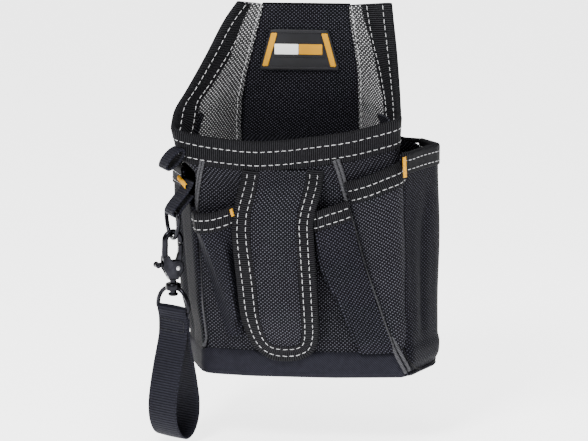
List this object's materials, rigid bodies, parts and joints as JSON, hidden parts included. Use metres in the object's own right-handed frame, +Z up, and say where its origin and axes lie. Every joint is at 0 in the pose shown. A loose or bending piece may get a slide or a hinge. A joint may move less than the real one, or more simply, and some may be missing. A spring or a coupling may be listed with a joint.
{
  "type": "electrician tool pouch",
  "caption": "Black nylon belt tool pouch with bound pockets, a front tongue and a swivel snap hook carrying a webbing tape strap.",
  "frame": {"origin": "middle of the belt tunnel behind the back panel", "axes": "+Z up, -Y the pouch's front, +Y the wearer, +X the viewer's right"},
  "size_m": [0.204, 0.116, 0.3025],
  "materials": {
    "nylon_black": "black ballistic nylon, coarse basket weave",
    "nylon_twill": "black coated twill",
    "nylon_grey": "dark grey ballistic nylon",
    "binding": "black ribbed binding tape, white lockstitch",
    "piping": "black woven piping",
    "webbing": "black ribbed webbing",
    "board": "black polyethylene board",
    "badge_rubber": "moulded black rubber",
    "yellow_rubber": "moulded yellow rubber",
    "white_rubber": "moulded white rubber",
    "yellow_thread": "yellow bar-tack thread",
    "black_nickel": "polished black nickel",
    "spring_steel": "bright spring wire"
  },
  "bodies": {
    "pouch": {"back_panel": "nylon_black", "back_board": "board", "back_lining": "nylon_black", "base_panel": "nylon_black", "base_board": "board", "base_band": "nylon_twill", "front_panel": "nylon_black", "gusset_left": "nylon_black", "gusset_right": "nylon_black", "wing_left": "nylon_black", "wing_right": "nylon_black", "wing_facing_left": "nylon_grey", "wing_facing_right": "nylon_grey", "wing_binding_left": "binding", "wing_binding_right": "binding", "mouth_binding": "binding", "side_pocket_left": "nylon_black", "side_pocket_right": "nylon_black", "side_binding_left": "binding", "side_binding_right": "binding", "front_pocket_left": "nylon_black", "front_pocket_right": "nylon_black", "front_binding_left": "binding", "front_binding_right": "binding", "wrap_pocket_right": "nylon_black", "wrap_binding_right": "binding", "piping_left": "piping", "piping_right": "piping", "tongue_panel": "nylon_black", "tongue_binding": "binding", "badge_plate": "badge_rubber", "badge_bars": "yellow_rubber", "badge_stripe_white": "white_rubber", "badge_stripe_yellow": "yellow_rubber", "belt_tunnel": "webbing", "ring_tab": "webbing", "side_loop": "webbing", "bar_tacks": "yellow_thread"},
    "ring": {"d_ring": "black_nickel"},
    "hook": {"hook_body": "black_nickel", "gate_rivet": "black_nickel", "gate_spring": "spring_steel", "swivel_pin": "black_nickel"},
    "gate": {"gate": "black_nickel"},
    "eye": {"swivel_eye": "black_nickel"},
    "strap": {"tape_strap": "webbing"}
  },
  "joints": [
    {"name": "d_ring_swing", "type": "hinge", "parent": "pouch", "child": "ring", "pos_m": [-0.08632, -0.08732, -0.077], "axis": [-0.488, 0.8729, 0], "range_deg": [0, 75]},
    {"name": "hook_swing", "type": "hinge", "parent": "ring", "child": "hook", "pos_m": [-0.08632, -0.08732, -0.096], "axis": [0.8729, 0.488, 0], "range_deg": [-20, 20]},
    {"name": "gate_pivot", "type": "hinge", "parent": "hook", "child": "gate", "pos_m": [-0.0837, -0.08585, -0.1175], "axis": [0.488, -0.8729, 0], "range_deg": [0, 20], "stiffness_Nm_per_rad": 0.02, "springref_deg": -20.05, "deforming": ["gate_spring"]},
    {"name": "eye_swivel", "type": "hinge", "parent": "hook", "child": "eye", "pos_m": [-0.08632, -0.08732, -0.131], "axis": [0, 0, 1], "continuous": true},
    {"name": "strap_swing", "type": "hinge", "parent": "eye", "child": "strap", "pos_m": [-0.08632, -0.08732, -0.148], "axis": [0.8387, -0.5446, 0], "range_deg": [-10, 7]}
  ]
}
